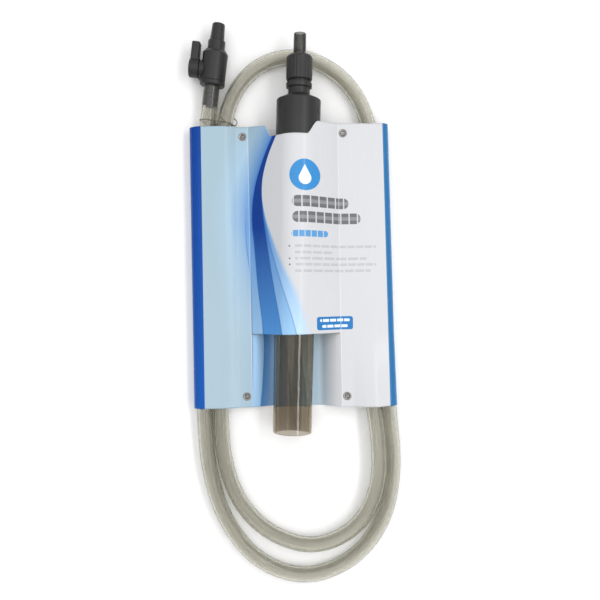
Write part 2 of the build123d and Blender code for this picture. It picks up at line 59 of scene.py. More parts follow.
# Hose: outer and bore radius, and the route that its CAD tube follows
HOSE_R = 8.0
HOSE_BORE_R = 6.0
HOSE_ROUTE = [
    (-0.0827, 0.1885, 0.0126),
    (-0.0861, 0.1636, 0.0112),
    (-0.0916, 0.1290, 0.0089),
    (-0.0952, 0.0610, 0.0089),
    (-0.0964, -0.0240, 0.0089),
    (-0.0970, -0.0990, 0.0089),
    (-0.0966, -0.1600, 0.0091),
    (-0.0936, -0.2130, 0.0081),
    (-0.0775, -0.2660, 0.0081),
    (-0.0440, -0.3095, 0.0081),
    (0.0070, -0.3275, 0.0081),
    (0.0580, -0.3080, 0.0081),
    (0.0905, -0.2660, 0.0081),
    (0.1008, -0.2120, 0.0081),
    (0.0964, -0.1590, 0.0091),
    (0.0929, -0.1020, 0.0089),
    (0.0910, -0.0300, 0.0089),
    (0.0880, 0.0500, 0.0089),
    (0.0850, 0.1160, 0.0090),
    (0.0765, 0.1630, 0.0089),
    (0.0520, 0.2000, 0.0083),
    (0.0100, 0.2215, 0.0081),
    (-0.0335, 0.2135, 0.0081),
    (-0.0632, 0.1810, 0.0088),
    (-0.0742, 0.1350, 0.0093),
    (-0.0780, 0.0760, 0.0089),
    (-0.0798, 0.0030, 0.0089),
    (-0.0806, -0.0760, 0.0089),
    (-0.0803, -0.1450, 0.0092),
    (-0.0782, -0.2010, 0.0081),
    (-0.0625, -0.2480, 0.0081),
    (-0.0295, -0.2815, 0.0081),
    (0.0180, -0.2960, 0.0084),
    (0.0645, -0.2725, 0.0105),
    (0.0846, -0.2270, 0.0158),
    (0.0838, -0.1800, 0.0166),
    (0.0782, -0.1360, 0.0138),
    (0.0750, -0.1040, 0.0107),
]

# Sleeve
SLEEVE_TOP = 145.5
SLEEVE_BOTTOM = -146.5
SLIT_Y = -70.0
CARD_TOP = 0.8
SHEET_THICKNESS = 0.45
WALL_MIDDLE_Z = 8.8
SLEEVE_LEFT = -107.0
CREASE_LEFT = -46.4
CREASE_RIGHT = 46.6
LEFT_SEAM_Z = 11.2
RIGHT_SEAM_Z = 19.8
EYELET_HOLE_R = 2.4
LEFT_SEAM = [(-57.5, LEFT_SEAM_Z), (CREASE_LEFT, LEFT_SEAM_Z)]
RIGHT_SEAM = [(CREASE_RIGHT, RIGHT_SEAM_Z), (58.2, RIGHT_SEAM_Z)]
# Front of the sheet as (x, z) bends at three places along it, from the left fold to the right one
LEFT_FRONT = [
    (SLEEVE_TOP, [(-94.6, 18.4), (-71.0, 18.4), (-64.2, 15.4), *LEFT_SEAM]),
    (SLIT_Y, [(-95.0, 17.7), (-76.0, 17.7), (-66.8, 15.0), *LEFT_SEAM]),
    (SLEEVE_BOTTOM, [(-95.2, 17.7), (-77.0, 17.7), (-67.3, 15.0), *LEFT_SEAM]),
]
RIGHT_FRONT = [
    (SLEEVE_TOP, [*RIGHT_SEAM, (68.0, 19.3), (77.0, 18.4), (93.3, 17.7)]),
    (SLIT_Y, [*RIGHT_SEAM, (68.0, 19.8), (78.0, 19.5), (95.2, 17.8)]),
    (SLEEVE_BOTTOM, [*RIGHT_SEAM, (72.0, 23.6), (82.0, 25.4), (96.5, 18.2)]),
]
BEHIND_TUBE = [
    (SLIT_Y, [(CREASE_LEFT, LEFT_SEAM_Z), (-41.0, 10.6), (-31.0, 3.4), (-27.0, CARD_TOP),
              (27.0, CARD_TOP), (31.0, 5.4), (41.0, 15.6), (CREASE_RIGHT, RIGHT_SEAM_Z)]),
    (SLEEVE_BOTTOM, [(CREASE_LEFT, LEFT_SEAM_Z), (-41.0, 8.6), (-31.0, 2.9), (-27.0, CARD_TOP),
                     (27.0, CARD_TOP), (31.0, 4.9), (41.0, 14.6), (CREASE_RIGHT, RIGHT_SEAM_Z)]),
]
RIGHT_EDGE = [(SLEEVE_TOP, [(99.5, 0.0)]), (SLIT_Y, [(102.2, 0.0)]), (SLEEVE_BOTTOM, [(104.2, 0.0)])]
BEND_SOFTNESS = 2.4
# Radius of the arch over the siphon at the slit, and how much wider it is at the sleeve's top
ARCH_R = 21.8
ARCH_WIDENING = 1.4

# Siphon: stations along its axis from the open mouth
NOZZLE_MOUNT_STATION = 390.0
TUBE_LENGTH = 318.0
TUBE_MOUTH_R = 20.0
TUBE_TOP_R = 21.0
TUBE_WALL = 1.6
MOUTH_BORE_LENGTH = 25.0

# Tap: stations along its axis from the end of the hose
TAP_MOUNT_STATION = 45.0
BARB_STATIONS = (-18.0, -12.5, -7.0)
TAIL_LENGTH = 21.0
TAIL_GRIP_R = 5.1
TAIL_EASE = 4.0


# ---- Meshes ----

def new_object(name, data):
    """Object at the origin, linked to the scene."""
    made = bpy.data.objects.new(name, data)
    bpy.context.scene.collection.objects.link(made)
    return made


def finish_piece(piece, materials, body, replaced):
    """Gives a piece its materials, its body and the CAD nodes that it stands for."""
    for material in materials:
        piece.data.materials.append(material)
    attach(piece, body)
    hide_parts(*replaced)
    return piece


def mesh_from(name, points, faces, place=Matrix.Scale(MM, 4), sharp_degrees=38):
    """Smooth-shaded mesh, brought to metres, with its faces turned outwards and its sharp edges kept."""
    mesh = bpy.data.meshes.new(name)
    mesh.from_pydata([place @ Vector(point) for point in points], [], faces)
    shell = bmesh.new()
    shell.from_mesh(mesh)
    bmesh.ops.recalc_face_normals(shell, faces=shell.faces)
    shell.to_mesh(mesh)
    shell.free()
    mesh.shade_smooth()
    mesh.set_sharp_from_angle(angle=radians(sharp_degrees))
    return mesh


def axis_place(mount_name, station):
    """Matrix from millimetres about a mount's axis to the frame: Z is the axis, station 0 its origin."""
    mount = MOUNTS[mount_name]
    axis = Vector(mount["axis"]).normalized()
    across = Vector((axis.y, -axis.x, 0)).normalized()
    origin = Vector(mount["pos_m"]) - axis * station * MM
    turn = Matrix((across, axis.cross(across), axis)).transposed().to_4x4()
    return Matrix.Translation(origin) @ turn @ Matrix.Scale(MM, 4)


SIPHON = axis_place("nozzle_bore", NOZZLE_MOUNT_STATION)
TAP = axis_place("tap_bore", TAP_MOUNT_STATION)


def eased(corners, steps=4):
    """Closed outline from (radius, station, ease) corners, each rounded off over its ease."""
    outline = []
    for k, (radius, station, ease) in enumerate(corners):
        corner = Vector((radius, station))
        if ease == 0:
            outline.append(corner)
            continue
        before = Vector(corners[k - 1][:2]) - corner
        after = Vector(corners[(k + 1) % len(corners)][:2]) - corner
        start = corner + before.normalized() * min(ease, before.length / 2)
        end = corner + after.normalized() * min(ease, after.length / 2)
        for step in range(steps + 1):
            t = step / steps
            outline.append(start * (1 - t) ** 2 + corner * 2 * t * (1 - t) + end * t ** 2)
    return outline


def grid_faces(rows, columns, wrap_rows, wrap_columns):
    """Quads of a grid whose point at (row, column) has index row * columns + column."""
    faces = []
    for row in range(rows if wrap_rows else rows - 1):
        for column in range(columns if wrap_columns else columns - 1):
            next_row = (row + 1) % rows
            next_column = (column + 1) % columns
            faces.append((row * columns + column, row * columns + next_column,
                          next_row * columns + next_column, next_row * columns + column))
    return faces


def turned(name, corners, place, segments=96, ripple=None):
    """Ring-shaped mesh: a closed outline turned about the local Z axis."""
    outline = eased(corners)
    points = []
    for k in range(segments):
        angle = tau * k / segments
        for radius, station in outline:
            reach = radius + (ripple(angle, radius, station) if ripple else 0)
            points.append((reach * cos(angle), reach * sin(angle), station))
    return mesh_from(name, points, grid_faces(segments, len(outline), True, True), place)


# ---- Materials ----

class Surface:
    """A Principled material and the nodes that feed it."""

    def __init__(self, name, constants):
        self.material = bpy.data.materials.new(name)
        self.material.use_nodes = True
        self.tree = self.material.node_tree
        self.shader = self.tree.nodes["Principled BSDF"]
        for socket, value in constants.items():
            self.shader.inputs[socket].default_value = value

    def plug(self, socket, source):
        """Links a source socket, or sets a plain value."""
        if isinstance(source, bpy.types.NodeSocket):
            self.tree.links.new(source, socket)
        else:
            socket.default_value = source

    def add(self, kind, sources, **settings):
        """New node of a kind, with its settings and its inputs by name or number."""
        node = self.tree.nodes.new("ShaderNode" + kind)
        for setting, value in settings.items():
            setattr(node, setting, value)
        for socket, source in sources.items():
            self.plug(node.inputs[socket], source)
        return node

    def feed(self, socket, source):
        """Feeds one of the shader's own sockets."""
        self.plug(self.shader.inputs[socket], source)

    def position(self):
        """Place on the object, in millimetres."""
        coordinates = self.add("TexCoord", {})
        sources = {0: coordinates.outputs["Object"], "Scale": 1 / MM}
        scaled = self.add("VectorMath", sources, operation="SCALE")
        return scaled.outputs["Vector"]

    def stretched(self, vector, scale):
        """A position multiplied along each axis."""
        return self.add("VectorMath", {0: vector, 1: scale}, operation="MULTIPLY").outputs["Vector"]

    def noise(self, vector, scale, detail=3.0, roughness=0.5):
        """Noise between 0 and 1."""
        sources = {"Vector": vector, "Scale": scale, "Detail": detail, "Roughness": roughness}
        return self.add("TexNoise", sources).outputs["Fac"]

    def math(self, operation, *sources):
        """One Math node."""
        return self.add("Math", dict(enumerate(sources)), operation=operation).outputs[0]

    def range(self, value, low, high, to_low=0.0, to_high=1.0, smooth=False):
        """Value mapped from one range to another, and held at its ends."""
        kind = "SMOOTHSTEP" if smooth else "LINEAR"
        sources = {"Value": value, "From Min": low, "From Max": high, "To Min": to_low, "To Max": to_high}
        return self.add("MapRange", sources, interpolation_type=kind).outputs["Result"]

    def mix(self, share, first, second):
        """Colour mixed from first to second."""
        node = self.add("Mix", {}, data_type="RGBA")
        self.plug(node.inputs[0], share)
        self.plug(node.inputs[6], first)
        self.plug(node.inputs[7], second)
        return node.outputs[2]

    def absorb(self, thinning, density):
        """Darkens light by the distance it travels inside."""
        inside = self.add("VolumeAbsorption", {"Color": thinning, "Density": density})
        self.plug(self.tree.nodes["Material Output"].inputs["Volume"], inside.outputs["Volume"])

    def bump(self, height, distance, strength=1.0):
        """Bumps the shader's normal by a height in millimetres times distance."""
        node = self.add("Bump", {"Height": height, "Distance": distance * MM, "Strength": strength})
        self.feed("Normal", node.outputs["Normal"])


def colour(code):
    """Linear colour from a six-digit sRGB code."""
    parts = [int(code[k:k + 2], 16) / 255 for k in (0, 2, 4)]
    linear = [p / 12.92 if p <= 0.04045 else ((p + 0.055) / 1.055) ** 2.4 for p in parts]
    return (*linear, 1.0)


def moulded_plastic(name, base, worn, roughness, grain):
    """Moulded plastic: fine spark-eroded grain, cloudy gloss and a few rubbed patches."""
    surface = Surface(name, {"IOR": 1.49, "Specular IOR Level": 0.42})
    place = surface.position()
    cloud = surface.noise(place, 0.09, 4.0)
    rubbed = surface.range(surface.noise(place, 0.35, 6.0, 0.65), 0.56, 0.74)
    surface.feed("Base Color", surface.mix(surface.math("MULTIPLY", rubbed, 0.5), base, worn))
    uneven = surface.math("MULTIPLY_ADD", cloud, 0.16, roughness - 0.08)
    surface.feed("Roughness", surface.math("MULTIPLY_ADD", rubbed, -0.06, uneven))
    fine = surface.noise(place, 5.5, 2.0, 0.6)
    waves = surface.noise(place, 0.12, 2.0)
    surface.bump(surface.math("MULTIPLY_ADD", waves, 1.6, fine), grain)
    return surface.material


def clear_plastic(name, thinning, density, roughness):
    """Clear plastic whose tint comes from its thickness, with drawing lines and a few handling marks."""
    surface = Surface(name, {"IOR": 1.47, "Transmission Weight": 1.0})
    place = surface.position()
    cloud = surface.noise(place, 0.06, 3.0)
    surface.feed("Base Color", surface.mix(cloud, colour("FFFFFF"), colour("F0F0F0")))
    marks = surface.range(surface.noise(place, 0.8, 8.0, 0.7), 0.6, 0.75, 0.0, 0.10)
    surface.feed("Roughness", surface.math("ADD", marks, roughness))
    surface.bump(surface.noise(surface.stretched(place, (2.2, 0.02, 2.2)), 1.0, 3.0), 0.006)
    surface.absorb(thinning, density)
    return surface.material


def hose_vinyl():
    """Clear vinyl hose: slightly milky, with extrusion streaks along its length."""
    surface = Surface("clear_hose_vinyl", {"IOR": 1.45, "Transmission Weight": 0.96})
    skin = surface.add("Attribute", {}, attribute_name="skin").outputs["Vector"]
    streaks = surface.noise(surface.stretched(skin, (3.4, 3.4, 0.5)), 1.0, 5.0, 0.6)
    clouds = surface.noise(surface.stretched(skin, (0.6, 0.6, 5.0)), 1.0, 3.0)
    milk = surface.mix(streaks, colour("FFFFFC"), colour("F4F2EA"))
    surface.feed("Base Color", surface.mix(surface.math("MULTIPLY", clouds, 0.5), milk, colour("ECEAE0")))
    surface.feed("Roughness", surface.range(streaks, 0.3, 0.7, 0.18, 0.30))
    surface.bump(streaks, 0.012)
    surface.absorb((0.50, 0.49, 0.34, 1.0), 72.0)
    return surface.material


def bright_metal(name, base, shade, roughness):
    """Plated or drawn metal with fine scratches and slightly dulled patches."""
    surface = Surface(name, {"Metallic": 1.0})
    place = surface.position()
    dull = surface.noise(place, 0.9, 5.0, 0.6)
    scratch = surface.noise(surface.stretched(place, (1.0, 9.0, 9.0)), 2.0, 4.0)
    surface.feed("Base Color", surface.mix(dull, base, shade))
    surface.feed("Roughness", surface.math("MULTIPLY_ADD", dull, 0.18, roughness - 0.06))
    surface.bump(scratch, 0.012)
    return surface.material


def rubber():
    """Black seal rubber with a powdery bloom."""
    surface = Surface("seal_rubber", {"Specular IOR Level": 0.3})
    place = surface.position()
    bloom = surface.noise(place, 0.7, 6.0, 0.65)
    surface.feed("Base Color", surface.mix(bloom, colour("1A1A1B"), colour("34343A")))
    surface.feed("Roughness", surface.range(bloom, 0.3, 0.7, 0.55, 0.8))
    surface.bump(surface.noise(place, 7.0, 3.0), 0.02)
    return surface.material


def card_plastic():
    """Unprinted side of the sleeve: stiff white plastic with faint handling marks."""
    surface = Surface("plain_card", {"IOR": 1.49})
    place = surface.position()
    stains = surface.noise(place, 0.03, 5.0, 0.6)
    surface.feed("Base Color", surface.mix(stains, colour("EEF0F1"), colour("DDE1E4")))
    scuffs = surface.noise(surface.stretched(place, (1.0, 0.12, 1.0)), 0.4, 6.0, 0.7)
    surface.feed("Roughness", surface.range(scuffs, 0.35, 0.7, 0.24, 0.42))
    surface.bump(surface.noise(place, 0.05, 2.0), 0.25)
    return surface.material


def floor_paper():
    """Pale studio paper with a faint tooth."""
    surface = Surface("studio_paper", {"Specular IOR Level": 0.1})
    place = surface.position()
    cloud = surface.noise(place, 0.01, 3.0)
    surface.feed("Base Color", surface.mix(cloud, colour("FBFBFB"), colour("F8F8F8")))
    surface.feed("Roughness", surface.range(surface.noise(place, 0.4, 3.0), 0.3, 0.7, 0.85, 0.95))
    return surface.material


# ---- Printed sheet ----

PRINT_SPAN_X = 240.0
PRINT_SPAN_Y = 300.0
# Each edge of the printed wave, as (y, x) points from the bottom of the sleeve to its top
WAVE_CREASE = [(-150, -46.5), (-45, -45.4), (-10, -46.2), (20, -49.6), (55, -50.5), (150, -50.5)]
WAVE_LEFT = [(-150, -38.5), (-110, -34.6), (-70, -33.4), (-20, -38.2), (20, -41.2), (50, -43.4), (75, -41.0),
             (100, -33.8), (130, -20.0), (150, -8.0)]
WAVE_MIDDLE = [(-150, -5.0), (-68, -13.8), (-17, -22.0), (20, -27.2), (60, -31.8), (80, -32.0), (101, -28.2),
               (130, -16.0), (150, -5.0)]
WAVE_INNER = [(-150, 12.0), (-68, 0.6), (-17, -14.0), (10, -21.5), (40, -28.4), (60, -31.4), (80, -32.0),
              (101, -28.2), (130, -16.0), (150, -5.0)]
WAVE_RIGHT = [(-150, 26.0), (-110, 22.0), (-68, 12.0), (-31, 2.0), (0, -12.0), (25, -21.4), (54, -29.8),
              (80, -32.0), (101, -28.2), (130, -16.0), (150, -5.0)]
# X where each side's dark strip starts, at the sleeve's bottom and at its top
STRIP_LEFT = (-95.2, -94.4)
STRIP_RIGHT = (96.4, 93.1)
EMBLEM_CENTRE = (12.1, 88.4)
EMBLEM_R = 15.5
DARK_INK = "6C6E72"
BLUE_INK = "5E9BD0"
PALE_INK = "B4B7BC"
BADGE_INK = "2E78B8"
# Blocks that stand where a title would be: centre x and y, width and height
TITLE_WORDS = [((27.6, 62.6), (58.0, 11.0), 8.6), ((33.8, 47.0), (70.0, 11.0), 8.6)]


class Print(Surface):
    """The sleeve's printed sheet, drawn in millimetres across the front."""

    def __init__(self):
        super().__init__("printed_sheet_film", {"IOR": 1.5, "Specular IOR Level": 0.16, "Coat Weight": 0.06,
                                                "Coat Roughness": 0.08})
        self.place = self.position()
        parts = self.add("SeparateXYZ", {"Vector": self.place})
        self.x = parts.outputs["X"]
        self.y = parts.outputs["Y"]
        self.down = self.range(self.y, 40.0, -70.0)

    def edge(self, points):
        """X of a smooth edge at this Y."""
        at = self.range(self.y, -PRINT_SPAN_Y / 2, PRINT_SPAN_Y / 2)
        node = self.add("FloatCurve", {"Value": at})
        curve = node.mapping.curves[0]
        spots = [(y / PRINT_SPAN_Y + 0.5, x / PRINT_SPAN_X + 0.5) for y, x in points]
        curve.points[0].location = spots[0]
        curve.points[1].location = spots[-1]
        for spot in spots[1:-1]:
            curve.points.new(*spot)
        node.mapping.update()
        return self.range(node.outputs["Value"], 0.0, 1.0, -PRINT_SPAN_X / 2, PRINT_SPAN_X / 2)

    def beyond(self, edge, soft=0.25):
        """1 to the right of an edge and 0 to its left, and how far to the right of it this is."""
        distance = self.math("SUBTRACT", self.x, edge)
        share = self.math("DIVIDE", distance, soft)
        return self.range(share, -0.5, 0.5, smooth=True), distance

    def line(self, distance, width, strength):
        """Thin line along an edge, fading on both sides."""
        ratio = self.math("DIVIDE", distance, width)
        fall = self.math("MULTIPLY", self.math("MULTIPLY", ratio, ratio), -1.0)
        return self.math("MULTIPLY", self.math("EXPONENT", fall), strength)

    def block(self, centre, size, corner, soft=0.3):
        """1 inside a rounded block."""
        across = self.math("ABSOLUTE", self.math("SUBTRACT", self.x, centre[0]))
        along = self.math("ABSOLUTE", self.math("SUBTRACT", self.y, centre[1]))
        out_x = self.math("MAXIMUM", self.math("SUBTRACT", across, size[0] / 2 - corner), 0.0)
        out_y = self.math("MAXIMUM", self.math("SUBTRACT", along, size[1] / 2 - corner), 0.0)
        reach = self.math("SQRT", self.math("ADD", self.math("MULTIPLY", out_x, out_x),
                                            self.math("MULTIPLY", out_y, out_y)))
        return self.range(reach, corner + soft / 2, corner - soft / 2)

    def paint(self, under, share, ink):
        """Ink over what is printed so far."""
        return self.mix(share, under, ink)


def wave_print(sheet):
    """Pale panel, wave of blue bands and white panel."""
    crease = sheet.edge(WAVE_CREASE)
    left = sheet.edge(WAVE_LEFT)
    middle = sheet.edge(WAVE_MIDDLE)
    inner = sheet.edge(WAVE_INNER)
    right = sheet.edge(WAVE_RIGHT)

    to_wave = sheet.math("SUBTRACT", left, sheet.x)
    glow = sheet.add("ValToRGB", {"Fac": sheet.range(to_wave, 0.0, 42.0)})
    ramp = glow.color_ramp
    ramp.elements[0].color = colour("4F82C6")
    ramp.elements[1].color = colour("A2BAC7")
    for stop, code in ((0.10, "6C99CC"), (0.30, "8EB1D2"), (0.55, "A4C0D3")):
        ramp.elements.new(stop).color = colour(code)
    result = sheet.mix(sheet.range(sheet.y, 40.0, -60.0, 0.0, 0.75), glow.outputs["Color"], colour("A8BECA"))

    past_crease, from_crease = sheet.beyond(crease, 0.6)
    band = sheet.mix(sheet.down, colour("5B93D2"), colour("9CC3E6"))
    shown = sheet.math("MULTIPLY", past_crease, sheet.range(sheet.y, 60.0, 5.0))
    result = sheet.paint(result, shown, band)

    past_left, from_left = sheet.beyond(left, 0.8)
    deep = sheet.mix(sheet.down, colour("0E3C90"), colour("4F90D2"))
    result = sheet.paint(result, past_left, deep)

    below_slit = sheet.range(sheet.y, SLIT_Y + 0.5, SLIT_Y - 0.5)
    paling = sheet.math("MULTIPLY", below_slit, sheet.range(from_left, 1.0, 9.0, 0.0, 0.55))
    result = sheet.paint(result, paling, colour("A4C0E2"))

    past_middle, from_middle = sheet.beyond(middle)
    result = sheet.paint(result, past_middle, sheet.mix(sheet.down, colour("3F7CC8"), colour("9AC6EA")))

    past_inner, from_inner = sheet.beyond(inner)
    result = sheet.paint(result, past_inner, sheet.mix(sheet.down, colour("5F9AD8"), colour("BEDBF2")))

    dark = colour("2C5C9E")
    for distance, width, strength in ((from_crease, 0.5, 0.55), (from_left, 0.6, 0.6),
                                      (from_middle, 0.5, 0.6), (from_inner, 0.5, 0.55)):
        lower_half = sheet.range(sheet.y, 75.0, 30.0)
        drawn = sheet.math("MULTIPLY", sheet.line(distance, width, strength), lower_half)
        result = sheet.paint(result, drawn, dark)

    softness = sheet.range(sheet.y, 60.0, -60.0, 0.5, 13.0)
    past_right, _ = sheet.beyond(right, softness)
    white = colour("CFD0D3")
    result = sheet.paint(result, past_right, white)
    # Below the slit the wave fades out slowly towards the right crease; the white it fades into is lighter
    # than the print's white, painted light on the shaded valley slope
    fade = sheet.range(sheet.x, 20.0, 44.0, smooth=True)
    fade_and_painted_light = sheet.mix(fade, colour("AFC6D6"), colour("E4E5E8"))
    right_of_tube = sheet.range(sheet.x, 12.0, 22.0, smooth=True)
    in_front = sheet.range(sheet.x, CREASE_RIGHT + 0.4, CREASE_RIGHT - 0.4)
    share = sheet.math("MULTIPLY", sheet.math("MULTIPLY", below_slit, right_of_tube), in_front)
    return sheet.paint(result, share, fade_and_painted_light)


def emblem_print(sheet, result):
    """Plain disc with a water drop in it."""
    x, y = EMBLEM_CENTRE
    disc = sheet.block(EMBLEM_CENTRE, (2 * EMBLEM_R, 2 * EMBLEM_R), EMBLEM_R)
    result = sheet.paint(result, disc, colour("3C8CCB"))
    bowl = sheet.block((x, y - 3.2), (12.6, 12.6), 6.3)
    across = sheet.math("ABSOLUTE", sheet.math("SUBTRACT", sheet.x, x))
    up = sheet.math("SUBTRACT", sheet.y, y - 1.4)
    width = sheet.range(up, 0.0, 11.5, 6.1, 0.0)
    inside = sheet.range(sheet.math("SUBTRACT", width, across), -0.15, 0.15)
    above = sheet.range(up, -0.2, 0.1)
    tip = sheet.math("MULTIPLY", inside, above)
    return sheet.paint(result, sheet.math("MAXIMUM", bowl, tip), colour("E6EEF4"))


def word_bar(sheet, centre, size, pitch, phase):
    """Bar broken into word-like lengths."""
    bar = sheet.block(centre, size, size[1] / 2)
    along = sheet.math("ADD", sheet.math("DIVIDE", sheet.x, pitch), phase)
    cell = sheet.math("FRACT", along)
    middle = sheet.math("ABSOLUTE", sheet.math("SUBTRACT", cell, 0.5))
    return sheet.math("MULTIPLY", bar, sheet.range(middle, 0.46, 0.40))


def text_print(sheet, result):
    """Blocks and bars where a heading, a sub-heading and small print would be."""
    for k, (centre, size, pitch) in enumerate(TITLE_WORDS):
        bar = word_bar(sheet, centre, size, pitch, 0.37 * k)
        hollow = sheet.block(centre, (size[0], size[1] * 0.3), 0.2, 1.0)
        faded = sheet.math("SUBTRACT", 1.0, sheet.math("MULTIPLY", hollow, 0.35))
        result = sheet.paint(result, sheet.math("MULTIPLY", bar, faded), colour(DARK_INK))
    result = sheet.paint(result, word_bar(sheet, (16.2, 30.6), (37.0, 6.4), 6.2, 0.2), colour(BLUE_INK))
    small_lines = ((18.2, 84.0), (11.9, 38.0), (5.9, 74.0), (-0.1, 84.0), (-6.5, 78.0))
    for k, (y, width) in enumerate(small_lines):
        bar = word_bar(sheet, (0.5 + width / 2, y), (width, 2.6), 9.0 + 1.7 * (k % 3), 0.31 * k)
        result = sheet.paint(result, sheet.math("MULTIPLY", bar, 0.75), colour(PALE_INK))
    for y in (18.2, 5.9, -0.1):
        result = sheet.paint(result, sheet.block((-4.6, y), (1.7, 1.7), 0.85), colour(DARK_INK))
    badge = (40.4, -59.8)
    result = sheet.paint(result, sheet.block(badge, (37.5, 13.6), 2.4), colour(BADGE_INK))
    for y, width in ((3.0, 31.0), (-3.0, 27.0)):
        bar = word_bar(sheet, (badge[0], badge[1] + y), (width, 2.8), 7.4, 0.1 * y)
        result = sheet.paint(result, bar, colour("E4EEF6"))
    return result


def printed_film():
    """Glossy printed film: the front's print, dark side walls, a painted highlight down each crease and a
    few scuffs.
    """
    sheet = Print()
    result = text_print(sheet, emblem_print(sheet, wave_print(sheet)))
    for fold in (CREASE_LEFT, CREASE_RIGHT):
        # Painted highlight: a thin pale line down each crease, standing in for the light the fold catches
        crease_highlight = sheet.line(sheet.math("SUBTRACT", sheet.x, fold), 0.45, 0.45)
        result = sheet.paint(result, crease_highlight, colour("E9F0F6"))
    fold_left = sheet.range(sheet.y, SLEEVE_BOTTOM, SLEEVE_TOP, *STRIP_LEFT)
    fold_right = sheet.range(sheet.y, SLEEVE_BOTTOM, SLEEVE_TOP, *STRIP_RIGHT)
    side_left = sheet.range(sheet.math("SUBTRACT", sheet.x, fold_left), 0.15, -0.15)
    side_right = sheet.range(sheet.math("SUBTRACT", sheet.x, fold_right), -0.15, 0.15)
    left_ink = sheet.mix(sheet.range(sheet.y, 145.0, -145.0), colour("003F96"), colour("0F55AC"))
    result = sheet.paint(result, side_left, left_ink)
    result = sheet.paint(result, side_right, colour("296EA4"))
    sheet.feed("Base Color", result)
    scuffs = sheet.noise(sheet.stretched(sheet.place, (1.0, 0.15, 1.0)), 0.5, 7.0, 0.7)
    sheet.feed("Roughness", sheet.range(scuffs, 0.4, 0.7, 0.20, 0.34))
    sheet.bump(sheet.noise(sheet.stretched(sheet.place, (1.0, 0.35, 1.0)), 0.045, 3.0), 0.55)
    return sheet.material


# ---- Sleeve ----

def smooth_step(t):
    """Smooth rise from 0 to 1."""
    t = min(max(t, 0.0), 1.0)
    return t * t * (3 - 2 * t)


def bends_at(stations, y):
    """The bends of a cross-section at one Y, between the stations above and below it."""
    for (high, first), (low, second) in zip(stations, stations[1:]):
        share = min((high - y) / (high - low), 1.0)
        if y >= low:
            return [(x + (to_x - x) * share, z + (to_z - z) * share)
                    for (x, z), (to_x, to_z) in zip(first, second)]
    return stations[-1][1]


def height_at(bends, x):
    """Height of straight runs between bends."""
    for (left, low), (right, high) in zip(bends, bends[1:]):
        if x <= right:
            return low + (high - low) * (x - left) / (right - left)
    return bends[-1][1]


def soft_height(bends, x):
    """Height of the runs with each bend rounded off."""
    reach = min(BEND_SOFTNESS, x - bends[0][0], bends[-1][0] - x)
    return sum(height_at(bends, x + reach * k / 3) for k in range(-3, 4)) / 7


def spread(start, end, count):
    """Evenly spaced values, both ends included."""
    return [start + (end - start) * k / (count - 1) for k in range(count)]


def wall(edge_x, fold_x, fold_z):
    """From the rear card up a side wall and round to the fold."""
    points = [(edge_x, z) for z in spread(CARD_TOP, WALL_MIDDLE_Z, 5)[:-1]]
    for angle in spread(0.0, pi / 2, 13):
        x = fold_x + (edge_x - fold_x) * cos(angle)
        points.append((x, WALL_MIDDLE_Z + (fold_z - WALL_MIDDLE_Z) * sin(angle)))
    return points


def left_section(y):
    """From the rear card at the left to the left crease."""
    bends = bends_at(LEFT_FRONT, y)
    front = [(x, soft_height(bends, x)) for x in spread(bends[0][0], CREASE_LEFT, 50)]
    return wall(SLEEVE_LEFT, *bends[0]) + front[1:]


def right_section(y):
    """From the right crease to the rear card at the right."""
    bends = bends_at(RIGHT_FRONT, y)
    edge_x = bends_at(RIGHT_EDGE, y)[0][0]
    front = [(x, soft_height(bends, x)) for x in spread(CREASE_RIGHT, bends[-1][0], 50)]
    return front[:-1] + wall(edge_x, *bends[-1])[::-1]


def siphon_centre(y):
    """X and Z of the siphon's axis where it passes a given Y."""
    point = SIPHON @ Vector((0, 0, 0)) / MM
    axis = (SIPHON @ Vector((0, 0, 1)) / MM) - point
    travel = (y - point.y) / axis.y
    return point.x + travel * axis.x, point.z + travel * axis.z


def over_section(y):
    """From crease to crease over the siphon: two flat slopes and a round top."""
    centre_x, centre_z = siphon_centre(y)
    radius = ARCH_R + ARCH_WIDENING * (y - SLIT_Y) / (SLEEVE_TOP - SLIT_Y)
    tangents = []
    for foot_x, foot_z, side in ((CREASE_LEFT, LEFT_SEAM_Z, 1), (CREASE_RIGHT, RIGHT_SEAM_Z, -1)):
        run = abs(centre_x - foot_x)
        drop = centre_z - foot_z
        slope = atan2(drop, run) + asin(radius / hypot(run, drop))
        tangents.append(pi / 2 + side * slope)
    top = [(centre_x + radius * cos(a), centre_z + radius * sin(a)) for a in spread(*tangents, 37)]
    left = zip(spread(CREASE_LEFT, top[0][0], 22)[:-1], spread(LEFT_SEAM_Z, top[0][1], 22)[:-1])
    right = zip(spread(top[-1][0], CREASE_RIGHT, 22)[1:], spread(top[-1][1], RIGHT_SEAM_Z, 22)[1:])
    return [*left, *top, *right]


def behind_section(y):
    """From crease to crease behind the tube, down into the valley that it lies in."""
    bends = bends_at(BEHIND_TUBE, y)
    return [(x, soft_height(bends, x)) for x in spread(CREASE_LEFT, CREASE_RIGHT, 79)]


def notched_top(x):
    """Y of the sheet's upper edge: cut down in the middle, where the head comes out."""
    left = smooth_step((x + 28.4) / 7.4)
    right = smooth_step((26.0 - x) / 10.5)
    droop = 2.8 * min((x - CREASE_LEFT) / 18.0, (CREASE_RIGHT - x) / 22.0, 1.0)
    floor_y = 129.4 - 0.03 * x
    corner_y = SLEEVE_TOP - droop
    return corner_y + (floor_y - corner_y) * min(left, right)


